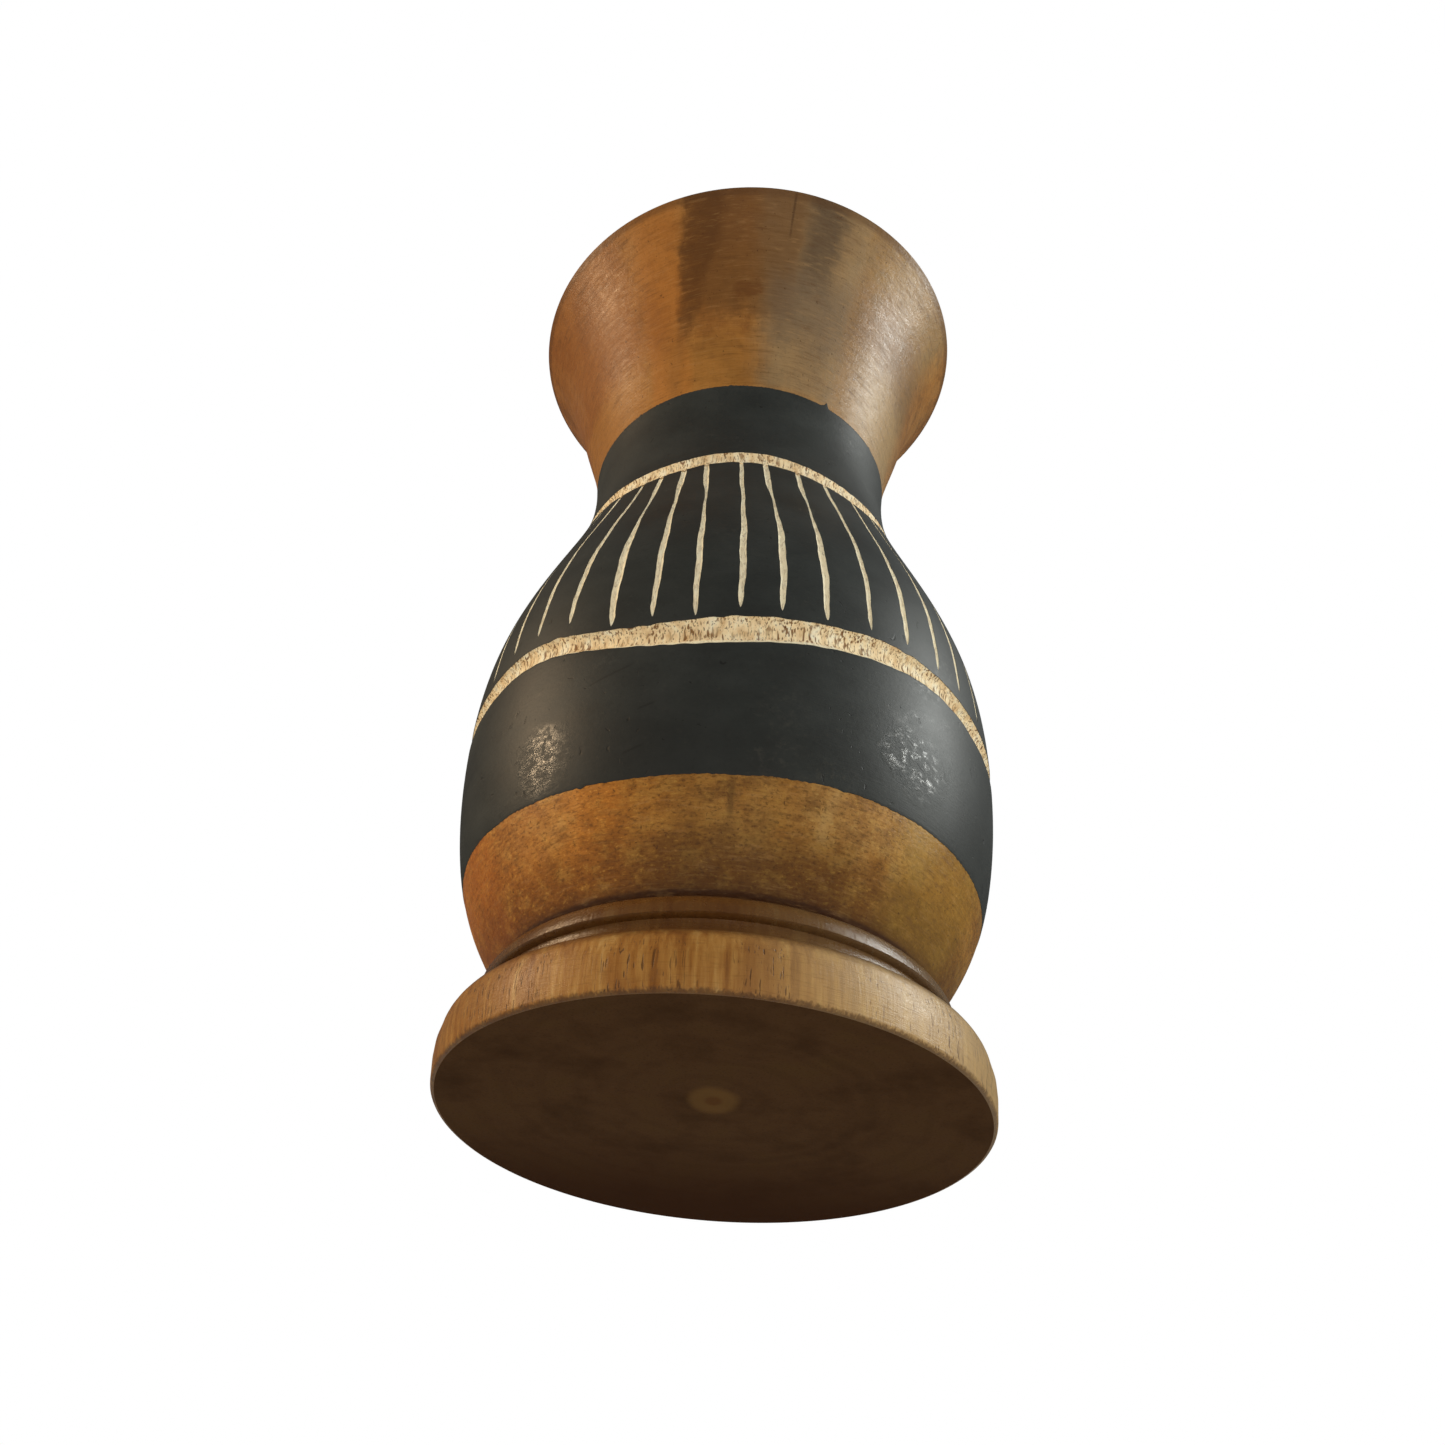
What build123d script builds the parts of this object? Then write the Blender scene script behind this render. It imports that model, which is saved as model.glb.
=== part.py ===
from build123d import *
import os

# Turned and hand-carved wooden vase with a flared mouth, on a separate turned foot.
# Millimetres. +Z up, the axis of the vase is Z, and the origin is the centre of the foot's underside.

# --- outline of the vase body: radius and height of each point it passes through ---
joint_height = 20.6          # face where the body sits on the foot
base_radius = 37.5
base_edge = 0.6              # the body's lower edge starts this far above the joint
lower_radius, lower_height = 44.5, 32.5
flank_radius, flank_height = 48.8, 46.5
belly_radius, belly_height = 50.45, 65.0
shoulder_radius, shoulder_height = 48.4, 88.2
slope_radius, slope_height = 40.7, 111.4
throat_radius, throat_height = 34.95, 128.0
waist_radius, waist_height = 32.9, 143.0
collar_radius, collar_height = 34.8, 162.0
flare_radius, flare_height = 38.6, 175.0
trumpet_radius, trumpet_height = 43.6, 190.5
mouth_radius, total_height = 51.6, 204.5
lip_round = 0.8

# --- hollow ---
mouth_wall = 5.2             # thickness of the lip
funnel_radius, funnel_height = 34.0, 189.0
neck_bore_radius, neck_bore_height = 22.0, 152.0
funnel_slope = (-1.0, -1.15) # direction in which the hollow leaves the lip
cavity_floor = 42.0
cavity_corner = 8.0

# --- foot ---
foot_radius = 46.4
foot_bulge = 0.25            # how far the foot's side swells between its edges
foot_side_height = 8.2
foot_edge = 0.6
foot_round_radius, foot_round_height = 42.2, 11.8
foot_round_arc = 4.0
cove_radius, cove_height = 40.0, 15.6
cove_arc = 3.2
bead_radius, bead_height = 41.2, 16.2
bead_top_radius = 38.0
bead_arc = 4.6

# --- glued joint between foot and body ---
tenon_radius = 15.0
tenon_height = 9.0
glue_gap = 0.05
tenon_end_gap = 0.4
tenon_chamfer = 0.8

# --- carved grooves: middle height, width and depth ---
lower_groove_height, lower_groove_width, lower_groove_depth = 66.9, 5.2, 1.1
upper_groove_height, upper_groove_width, upper_groove_depth = 126.9, 3.4, 0.8

# --- flutes: V cuts that run up the shoulder into the upper groove ---
flute_count = 40
flute_start_height = 71.3
flute_depth = 0.75           # below the wood surface
flute_width = 1.5            # at the paint surface
flute_steps = 7              # equal steps of the cutter's path between its two ends
flute_run_in = 0.1           # the cutter starts this far off the paint
cutter_height = 4.0

# --- paint ---
coat = 0.25                  # thickness of the black paint
belly_coat_bottom = 37.6
neck_coat_top = 153.1

os.makedirs("parts", exist_ok=True)


def outline_points(stand_off):
    """The body's outline from its base to the mouth, moved outwards by stand_off."""
    stations = [
        (base_radius, joint_height + base_edge),
        (lower_radius, lower_height),
        (flank_radius, flank_height),
        (belly_radius, belly_height),
        (shoulder_radius, shoulder_height),
        (slope_radius, slope_height),
        (throat_radius, throat_height),
        (waist_radius, waist_height),
        (collar_radius, collar_height),
        (flare_radius, flare_height),
        (trumpet_radius, trumpet_height),
        (mouth_radius, total_height),
    ]
    return [(radius + stand_off, height) for radius, height in stations]


outline = Spline(*outline_points(0), mode=Mode.PRIVATE)


def outline_radius(height):
    """Radius of the body's outline at a height, found by halving the curve's parameter."""
    low, high = 0.0, 1.0
    for _ in range(40):
        middle = (low + high) / 2
        if (outline @ middle).Y < height:
            low = middle
        else:
            high = middle
    return (outline @ low).X


def groove_circle(height, width, depth):
    """Radius of a cove's circle, and the distance of its centre from the axis."""
    radius = (width**2 / 4 + depth**2) / (2 * depth)
    return radius, outline_radius(height) + radius - depth


lower_cove_radius, lower_cove_axis = groove_circle(
    lower_groove_height, lower_groove_width, lower_groove_depth
)
upper_cove_radius, upper_cove_axis = groove_circle(
    upper_groove_height, upper_groove_width, upper_groove_depth
)
lower_groove_bottom = lower_groove_height - lower_groove_width / 2
lower_groove_top = lower_groove_height + lower_groove_width / 2
upper_groove_bottom = upper_groove_height - upper_groove_width / 2
upper_groove_top = upper_groove_height + upper_groove_width / 2

# --- V cutter of one flute: it dives in from the paint surface and runs out into the upper groove ---
flute_run = upper_groove_height - flute_start_height
flute_start_radius = outline_radius(flute_start_height) + coat + flute_run_in
flute_path_points = [(flute_start_radius, flute_start_height)]
for step in range(1, flute_steps + 1):
    height = flute_start_height + flute_run * step / flute_steps
    flute_path_points.append((outline_radius(height) - flute_depth, height))

cutter_half_width = flute_width / 2 * cutter_height / (flute_depth + coat)

with BuildPart() as flute_cutter:
    with BuildLine(Plane.XZ) as flute_path:
        Spline(*flute_path_points)
    start = flute_path.line @ 0
    heading = flute_path.line % 0
    with BuildSketch(Plane(origin=start, x_dir=(0, 1, 0), z_dir=heading)):
        with BuildLine():
            Polyline(
                (0, 0),
                (cutter_half_width, -cutter_height),
                (-cutter_half_width, -cutter_height),
                close=True,
            )
        make_face()
    sweep()

# --- vase body: turned, hollowed, grooved and fluted wood ---
with BuildPart() as vase_body:
    with BuildSketch(Plane.XZ):
        with BuildLine():
            body_side = Spline(*outline_points(0))
            Line((mouth_radius, total_height), (0, total_height))
            Line((0, total_height), (0, joint_height))
            Line((0, joint_height), (base_radius - base_edge, joint_height))
            Line((base_radius - base_edge, joint_height), body_side @ 0)
        make_face()
    revolve(axis=Axis.Z)

    with BuildSketch(Plane.XZ):
        with BuildLine():
            Spline(
                (mouth_radius - mouth_wall, total_height),
                (funnel_radius, funnel_height),
                (neck_bore_radius, neck_bore_height),
                tangents=(funnel_slope, (0, -1)),
            )
            Line((neck_bore_radius, neck_bore_height), (neck_bore_radius, cavity_floor + cavity_corner))
            RadiusArc(
                (neck_bore_radius, cavity_floor + cavity_corner),
                (neck_bore_radius - cavity_corner, cavity_floor),
                cavity_corner,
            )
            Line((neck_bore_radius - cavity_corner, cavity_floor), (0, cavity_floor))
            Line((0, cavity_floor), (0, total_height))
            Line((0, total_height), (mouth_radius - mouth_wall, total_height))
        make_face()
    revolve(axis=Axis.Z, mode=Mode.SUBTRACT)

    lip_edges = vase_body.faces().sort_by(Axis.Z)[-1].edges()
    fillet(lip_edges, lip_round)

    with PolarLocations(0, flute_count, start_angle=-90):
        add(flute_cutter.part, mode=Mode.SUBTRACT)

    with BuildSketch(Plane.XZ):
        with Locations((lower_cove_axis, lower_groove_height)):
            Circle(lower_cove_radius)
        with Locations((upper_cove_axis, upper_groove_height)):
            Circle(upper_cove_radius)
    revolve(axis=Axis.Z, mode=Mode.SUBTRACT)

    with BuildSketch(Plane.XY.offset(joint_height)):
        Circle(tenon_radius + glue_gap)
    extrude(amount=tenon_height + tenon_end_gap, mode=Mode.SUBTRACT)

vase_body.part.label = "vase_body"
export_step(vase_body.part, "parts/vase_body.step")

# --- foot: a thick disc with a cove and a bead above it, and a tenon that is glued into the body ---
with BuildPart() as foot:
    with BuildSketch(Plane.XZ):
        with BuildLine():
            Line((0, 0), (foot_radius - foot_edge, 0))
            Line((foot_radius - foot_edge, 0), (foot_radius, foot_edge))
            ThreePointArc(
                (foot_radius, foot_edge),
                (foot_radius + foot_bulge, (foot_edge + foot_side_height) / 2),
                (foot_radius - foot_bulge, foot_side_height),
            )
            RadiusArc(
                (foot_radius - foot_bulge, foot_side_height),
                (foot_round_radius, foot_round_height),
                -foot_round_arc,
            )
            RadiusArc((foot_round_radius, foot_round_height), (cove_radius, cove_height), cove_arc)
            Line((cove_radius, cove_height), (bead_radius, bead_height))
            RadiusArc((bead_radius, bead_height), (bead_top_radius, joint_height), -bead_arc)
            Line((bead_top_radius, joint_height), (tenon_radius, joint_height))
            Line((tenon_radius, joint_height), (tenon_radius, joint_height + tenon_height))
            Line((tenon_radius, joint_height + tenon_height), (0, joint_height + tenon_height))
            Line((0, joint_height + tenon_height), (0, 0))
        make_face()
    revolve(axis=Axis.Z)
    chamfer(foot.faces().sort_by(Axis.Z)[-1].edges(), tenon_chamfer)

foot.part.label = "foot"
export_step(foot.part, "parts/foot.step")

# --- paint: three bands of black paint on the wood, parted by the two grooves ---
paint_bands = {
    "belly_paint": (belly_coat_bottom, lower_groove_bottom),
    "shoulder_paint": (lower_groove_top, upper_groove_bottom),
    "neck_paint": (upper_groove_top, neck_coat_top),
}

for band_name, (band_bottom, band_top) in paint_bands.items():
    with BuildPart() as band:
        with BuildSketch(Plane.XZ):
            with BuildLine():
                outer_side = Spline(*outline_points(coat))
                inner_side = Spline(*outline_points(0))
                Line(outer_side @ 0, inner_side @ 0)
                Line(outer_side @ 1, inner_side @ 1)
            make_face()
            with Locations((0, (band_bottom + band_top) / 2)):
                Rectangle(3 * belly_radius, band_top - band_bottom, mode=Mode.INTERSECT)
        revolve(axis=Axis.Z)
        if band_name == "shoulder_paint":
            with PolarLocations(0, flute_count, start_angle=-90):
                add(flute_cutter.part, mode=Mode.SUBTRACT)
    band.part.label = band_name
    export_step(band.part, f"parts/{band_name}.step")
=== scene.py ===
# Turned and hand-carved wooden vase: the looks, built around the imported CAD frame.
# Blender works in metres. The shapes below are worked out in millimetres and scaled once, in Skin.build.
# The vase's axis is Z, its front is -Y, and an azimuth of 0 faces the front and grows towards +X.
import bmesh
import bpy
import itertools
import math
import numpy as np
from mathutils import Matrix, Vector


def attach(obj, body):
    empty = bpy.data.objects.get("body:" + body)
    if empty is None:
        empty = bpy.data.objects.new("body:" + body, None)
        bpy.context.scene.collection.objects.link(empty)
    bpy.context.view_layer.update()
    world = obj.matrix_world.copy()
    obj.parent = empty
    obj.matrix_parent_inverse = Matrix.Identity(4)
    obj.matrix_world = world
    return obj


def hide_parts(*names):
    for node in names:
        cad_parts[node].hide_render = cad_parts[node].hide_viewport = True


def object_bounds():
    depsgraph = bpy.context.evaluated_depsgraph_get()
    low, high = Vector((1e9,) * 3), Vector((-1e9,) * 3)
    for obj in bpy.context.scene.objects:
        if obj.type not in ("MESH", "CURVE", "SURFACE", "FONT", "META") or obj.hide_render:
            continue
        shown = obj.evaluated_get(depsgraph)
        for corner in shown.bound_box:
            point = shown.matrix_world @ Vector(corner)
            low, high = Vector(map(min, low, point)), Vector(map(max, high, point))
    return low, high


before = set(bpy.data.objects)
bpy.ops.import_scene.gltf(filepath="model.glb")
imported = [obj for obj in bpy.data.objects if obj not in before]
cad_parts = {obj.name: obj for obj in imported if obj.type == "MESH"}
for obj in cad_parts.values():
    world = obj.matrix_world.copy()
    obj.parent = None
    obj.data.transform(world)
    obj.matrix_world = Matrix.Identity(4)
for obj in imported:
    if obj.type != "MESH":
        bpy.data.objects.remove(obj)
cad_low, cad_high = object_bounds()

MM = 0.001
TURN = 2 * math.pi

# ---------------------------------------- outline and carving, in millimetres

joint_height = 20.6
base_edge = 0.6
mouth_radius, total_height = 51.6, 204.5
OUTLINE = [
    (37.5, joint_height + base_edge),
    (44.5, 32.5),
    (48.8, 46.5),
    (50.45, 65.0),
    (48.4, 88.2),
    (40.7, 111.4),
    (34.95, 128.0),
    (32.9, 143.0),
    (34.8, 162.0),
    (38.6, 175.0),
    (43.6, 190.5),
    (mouth_radius, total_height),
]

mouth_wall = 5.2
lip_round = 0.8
funnel_radius, funnel_height = 34.0, 189.0
neck_bore_radius, neck_bore_height = 22.0, 152.0
cavity_floor, cavity_corner = 42.0, 8.0
socket_radius, socket_height = 15.05, 9.4

foot_radius, foot_bulge, foot_side_height = 46.4, 0.25, 8.2
foot_edge, foot_edge_round = 0.75, 0.8
foot_round, foot_round_arc = (42.2, 11.8), 4.0
cove_top, cove_arc = (40.0, 15.6), 3.2
bead_edge, bead_arc = (41.2, 16.2), 4.6
bead_top_radius = 38.0
tenon_radius, tenon_height, tenon_chamfer = 15.0, 9.0, 0.8

lower_groove_depth, upper_groove_depth = 1.15, 0.75
neck_paint_top = 153.5
paint = 0.07                      # how far the coat stands off the wood
under_paint = 0.05                # how far its hidden face sinks into the wood
plain_top = 41.0                  # up to here the body's rings are level and evenly spaced

flute_count = 40
flute_pitch = TURN / flute_count
flute_gap = 2.3                   # from the lower groove up to the tips of the flutes at the back

CARVED_COLUMNS = 800
BAND_COLUMNS = 720
PLAIN_COLUMNS = 240
HOLLOW_COLUMNS = 120


def cubic_through(knots):
    """Natural cubic curve of radius over height through (radius, height) knots."""
    value, place = np.array(knots, float).T
    gap = np.diff(place)
    slope = np.diff(value) / gap
    system = np.eye(len(place))
    right = np.zeros(len(place))
    for i in range(1, len(place) - 1):
        system[i, i - 1:i + 2] = gap[i - 1], 2 * (gap[i - 1] + gap[i]), gap[i]
        right[i] = 6 * (slope[i] - slope[i - 1])
    bend = np.linalg.solve(system, right)

    def at(height):
        height = np.asarray(height, float)
        i = np.clip(np.searchsorted(place, height) - 1, 0, len(gap) - 1)
        after, before = height - place[i], place[i + 1] - height
        cubes = (bend[i] * before**3 + bend[i + 1] * after**3) / (6 * gap[i])
        lines = (value[i] / gap[i] - bend[i] * gap[i] / 6) * before
        return cubes + lines + (value[i + 1] / gap[i] - bend[i + 1] * gap[i] / 6) * after

    return at


outline = cubic_through(OUTLINE)


def smooth(value, start, end):
    """0 before start, 1 after end, with a soft step between them."""
    t = np.clip((value - start) / (end - start), 0, 1)
    return t * t * (3 - 2 * t)


def ripple(azimuth, fewest, most, seed):
    """Smooth noise round the vase, about 1 high, made of waves from fewest to most per turn."""
    draw = np.random.default_rng(seed)
    waves = np.arange(fewest, most + 1)
    size = draw.normal(size=len(waves)) / math.sqrt(len(waves) / 2)
    phase = draw.uniform(0, TURN, len(waves))
    return np.cos(np.multiply.outer(azimuth, waves) + phase) @ size


def gouge_marks(azimuth, count, seed):
    """Depth, 0 to 1, of side-by-side gouge strokes: scallops with a ridge between each two."""
    draw = np.random.default_rng(seed)
    width = draw.uniform(0.5, 1.5, count)
    edge = np.concatenate([[0], np.cumsum(width)]) / width.sum() * TURN
    depth = draw.uniform(0.25, 1.0, count)
    turn = np.mod(azimuth, TURN)
    i = np.clip(np.searchsorted(edge, turn, side="right") - 1, 0, count - 1)
    across = (turn - edge[i]) / (edge[i + 1] - edge[i]) * 2 - 1
    return depth[i] * (1 - across**2)


def dip(azimuth, centre, spread):
    """A soft bump, 1 high, round one side of the vase."""
    away = np.mod(azimuth - math.radians(centre) + math.pi, TURN) - math.pi
    return np.exp(-(np.degrees(away) / spread) ** 2)


# Edges of the two freehand grooves all round: azimuth, bottom, top.
LOWER_GROOVE = [
    (-60, 66.8, 71.5),
    (-50, 67.3, 71.9),
    (-40, 66.5, 70.9),
    (-30, 64.4, 68.6),
    (-20, 62.7, 67.2),
    (-10, 62.0, 67.4),
    (0, 62.4, 68.3),
    (10, 63.5, 68.9),
    (20, 64.5, 69.6),
    (30, 65.3, 70.5),
    (40, 65.8, 70.4),
    (50, 65.1, 69.6),
    (60, 63.9, 68.8),
    (90, 63.2, 68.3),
    (125, 62.9, 68.2),
    (160, 65.0, 70.2),
    (195, 64.2, 69.0),
    (230, 62.6, 67.7),
    (265, 65.2, 70.2),
]
UPPER_GROOVE = [
    (-50, 124.2, 129.2),
    (-40, 123.4, 128.6),
    (-30, 123.3, 128.4),
    (-20, 123.9, 128.6),
    (-10, 124.9, 129.3),
    (0, 125.2, 129.7),
    (10, 124.9, 129.6),
    (20, 123.9, 128.8),
    (30, 122.8, 128.0),
    (40, 122.0, 127.3),
    (50, 122.2, 127.3),
    (85, 124.2, 128.6),
    (130, 124.8, 129.3),
    (175, 123.8, 128.3),
    (220, 124.9, 129.5),
    (265, 124.6, 129.1),
]


def hermite(t, run, start, end, first_slope, last_slope):
    """A cubic from start to end over a run, at a share t of it, with a slope at each end."""
    rise = (3 - 2 * t) * t * t
    bends = ((t - 1) ** 2 * first_slope + (t - 1) * t * last_slope) * t * run
    return start + (end - start) * rise + bends


def round_trip(azimuths, values):
    """Smooth closed curve of a value over azimuth, through stations given in degrees."""
    x = np.radians(azimuths)
    x = np.concatenate([x[-2:] - TURN, x, x[:2] + TURN])
    y = np.concatenate([values[-2:], values, values[:2]])
    slope = (y[2:] - y[:-2]) / (x[2:] - x[:-2])

    def at(azimuth):
        turn = np.mod(azimuth - x[1], TURN) + x[1]
        i = np.clip(np.searchsorted(x, turn, side="right") - 1, 1, len(x) - 3)
        run = x[i + 1] - x[i]
        return hermite((turn - x[i]) / run, run, y[i], y[i + 1], slope[i - 1], slope[i])

    return at


BELLY_PAINT_BOTTOM = [
    (-75, 39.1),
    (-50, 38.6),
    (-20, 37.7),
    (0, 37.8),
    (18, 38.4),
    (40, 38.5),
    (60, 38.2),
    (100, 38.0),
    (150, 38.6),
    (200, 37.9),
    (245, 38.4),
]
belly_bottom = round_trip(*np.array(BELLY_PAINT_BOTTOM, float).T)
lower_bottom, lower_top = (round_trip(*np.array(LOWER_GROOVE, float)[:, [0, k]].T) for k in (1, 2))
upper_bottom, upper_top = (round_trip(*np.array(UPPER_GROOVE, float)[:, [0, k]].T) for k in (1, 2))


def lower_groove(azimuth):
    """Bottom and top edge of the wide groove, nibbled by the gouge."""
    bottom = lower_bottom(azimuth) + 0.05 * ripple(azimuth, 30, 90, 5)
    return bottom, lower_top(azimuth) + 0.08 * ripple(azimuth, 30, 110, 6)


def upper_groove(azimuth):
    """Bottom and top edge of the narrow groove under the neck."""
    bottom = upper_bottom(azimuth) + 0.05 * ripple(azimuth, 30, 90, 9)
    return bottom, upper_top(azimuth) + 0.06 * ripple(azimuth, 30, 100, 10)


# ---------------------------------------- flutes

# The flutes of the front, as cut: height of the tip; azimuth at the tip, at 97 mm, at 108 mm and at the
# upper groove; width at the belly, at the pinch and at the crown.
FRONT_FLUTES = {
    -6: (74.6, -53.9, -54.2, -54.0, -53.6, 1.3, 0.8, 1.0),
    -5: (74.5, -45.4, -45.4, -45.4, -43.6, 1.35, 1.0, 1.3),
    -4: (73.3, -36.3, -35.2, -34.6, -33.8, 1.5, 1.05, 0.9),
    -3: (68.8, -25.8, -26.2, -26.3, -27.2, 1.75, 0.6, 1.2),
    -2: (69.1, -17.1, -17.4, -18.1, -19.6, 1.35, 0.78, 1.4),
    -1: (68.4, -8.7, -9.3, -10.0, -12.4, 1.25, 0.5, 1.27),
    0: (70.4, 0.0, 0.0, -0.3, -1.1, 1.35, 0.75, 0.95),
    1: (70.7, 8.1, 8.1, 7.5, 6.7, 1.45, 0.55, 1.35),
    2: (70.6, 17.1, 17.1, 17.1, 17.3, 1.5, 0.5, 1.25),
    3: (72.0, 26.6, 27.1, 27.1, 26.8, 1.2, 0.9, 1.1),
    4: (72.9, 35.7, 36.9, 37.3, 37.7, 1.55, 0.85, 0.9),
    5: (72.1, 44.8, 46.3, 46.8, 46.6, 1.4, 0.8, 1.1),
    6: (72.0, 53.0, 54.3, 54.9, 55.3, 1.3, 0.8, 1.0),
}


class Flute:
    """One hand-cut V: a long stroke up from the tip, and a short one down from the upper groove."""

    def __init__(self, side, draw):
        even = math.degrees(side * flute_pitch)
        shift, lean = draw.normal() * 0.45, draw.normal() * 0.8
        gap, belly, pinch, crown = draw.uniform((-0.8, 1.2, 0.45, 0.9), (0.9, 1.65, 0.95, 1.4))
        tip = float(lower_top(math.radians(even))) + flute_gap + gap
        path = (even + shift, even + shift * 0.6, even + lean * 0.4, even + lean)
        back = (tip, *path, belly, pinch, crown)
        self.tip, at_tip, at_belly, at_pinch, at_top, *self.widths = FRONT_FLUTES.get(side, back)
        self.azimuth = math.radians(at_tip)
        self.top = float(upper_bottom(math.radians(at_top)))
        path = [(at_tip, self.tip), (at_belly, 97), (at_pinch, 108), (at_top, self.top + 0.5)]
        self.path = cubic_through(path)
        self.waves = draw.uniform(0, TURN, 4)

    def half(self, height):
        """Half of the cut's width at a height, in millimetres; 0 below its tip."""
        belly, pinch, crown = self.widths
        above = np.clip(height - self.tip, 0, None)
        swell = np.sqrt(np.clip(above / 2.6, 0, 1)) * (0.78 + 0.22 * smooth(above, 2, 13))
        width = belly * swell + (pinch - belly) * smooth(height, 88, 107.5)
        width = width + (crown - pinch) * smooth(height, 108.5, 117) - 0.1 * smooth(height, 118, 124)
        width = 0.88 * width
        rough = 1 + 0.04 * np.sin(1.1 * height + self.waves[0])
        return width * (rough + 0.025 * np.sin(2.7 * height + self.waves[1])) / 2

    def middle(self, height):
        """Azimuth of the cut's middle at a height."""
        sway = 0.1 * np.sin(0.45 * height + self.waves[2]) + 0.03 * np.sin(1.3 * height + self.waves[3])
        return np.radians(self.path(height) + sway)


draw = np.random.default_rng(11)
flutes = [Flute(side, draw) for side in range(-flute_count // 2, flute_count // 2)]

# Rows of the fluted band, as shares of the way from the lower groove up to the upper one.
FLUTE_ROWS = np.concatenate([[0.0], np.linspace(0.01, 0.13, 30), np.linspace(0.145, 0.99, 60), [1.0]])


class Track:
    """A flute's middle, half width and texture at each row of the band."""

    def __init__(self, flute):
        self.middle = np.full(len(FLUTE_ROWS), flute.azimuth)
        for _ in range(3):
            bottom, top = lower_groove(self.middle)[1], upper_groove(self.middle)[0]
            height = bottom + (top - bottom) * FLUTE_ROWS
            self.middle = flute.middle(height)
        self.half = flute.half(height)
        self.spread = np.maximum(self.half, 0.05) / outline(height)
        coarse = 0.14 * np.sin(1.9 * height + flute.waves[0])
        self.grain = 1 + coarse + 0.1 * np.sin(5.3 * height + flute.waves[1])


tracks = [Track(flute) for flute in flutes]

# ---------------------------------------- meshes


class Skin:
    """Points and faces of one closed piece, added ring by ring from the bottom of the outside."""

    def __init__(self):
        self.points, self.faces, self.finish = [], [], []
        self.count = 0

    def add(self, points):
        first = self.count
        self.points.append(points)
        self.count += len(points)
        return np.arange(first, self.count)

    def ring(self, azimuth, radius, height):
        azimuth, radius, height = np.broadcast_arrays(azimuth, radius, height)
        across, deep = radius * np.sin(azimuth), -radius * np.cos(azimuth)
        return self.add(np.column_stack([across, deep, height])), azimuth

    def even_ring(self, columns, radius, height):
        return self.ring(np.arange(columns) * TURN / columns, radius, height)

    def join(self, first, second, finish=0):
        """Faces between two rings. Rings of different counts are stitched with triangles."""
        a, at_a = first
        b, at_b = second
        if len(a) == len(b):
            quads = np.column_stack([a, np.roll(a, -1), np.roll(b, -1), b])
            self.faces.extend(quads.tolist())
            self.finish.extend([finish] * len(quads))
            return
        at_a, at_b = np.append(at_a, at_a[0] + TURN), np.append(at_b, at_b[0] + TURN)
        a, b = np.append(a, a[0]).tolist(), np.append(b, b[0]).tolist()
        i = j = 0
        while i < len(a) - 1 or j < len(b) - 1:
            if j == len(b) - 1 or (i < len(a) - 1 and at_a[i + 1] <= at_b[j + 1]):
                self.faces.append([a[i], a[i + 1], b[j]])
                i += 1
            else:
                self.faces.append([a[i], b[j + 1], b[j]])
                j += 1
            self.finish.append(finish)

    def climb(self, ring, rings, finish=0):
        """Joins a ring to the next ones in turn, and gives the last one back."""
        for after in rings:
            self.join(ring, after, finish)
            ring = after
        return ring

    def close(self, ring, height, finish=0, inward=True):
        """A fan from a ring to a point on the axis."""
        ids = ring[0]
        tip = self.add(np.array([[0.0, 0.0, height]]))[0]
        after = np.roll(ids, -1)
        fan = [[p, q, tip] if inward else [q, p, tip] for p, q in zip(ids.tolist(), after.tolist())]
        self.faces.extend(fan)
        self.finish.extend([finish] * len(fan))

    def build(self, name, materials):
        mesh = bpy.data.meshes.new(name)
        mesh.from_pydata((np.vstack(self.points) * MM).tolist(), [], self.faces)
        for material in materials:
            mesh.materials.append(material)
        mesh.polygons.foreach_set("material_index", self.finish)
        mesh.polygons.foreach_set("use_smooth", [True] * len(mesh.polygons))
        mesh.set_sharp_from_angle(angle=math.radians(32))
        mesh.validate()
        piece = bpy.data.objects.new(name, mesh)
        bpy.context.scene.collection.objects.link(piece)
        return piece


def arc(start, end, radius, steps):
    """Points after start, up to end, on a short arc; a positive radius bulges to the left of the way."""
    start, end = np.array(start, float), np.array(end, float)
    chord = end - start
    length = np.linalg.norm(chord)
    left = np.array([-chord[1], chord[0]]) / length
    rise = math.sqrt(radius**2 - length**2 / 4)
    centre = (start + end) / 2 - math.copysign(rise, radius) * left
    first = math.atan2(*(start - centre)[::-1])
    sweep = (math.atan2(*(end - centre)[::-1]) - first + math.pi) % TURN - math.pi
    angles = first + sweep * np.arange(1, steps + 1) / steps
    return [tuple(centre + abs(radius) * np.array([math.cos(t), math.sin(t)])) for t in angles]


# ---------------------------------------- materials


def srgb(tone):
    """Linear colour of a tone, which is red, green and blue of 0 to 255."""
    linear = [v / 3294.6 if v <= 10.3 else ((v / 255 + 0.055) / 1.055) ** 2.4 for v in tone]
    return (*linear, 1.0)


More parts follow.
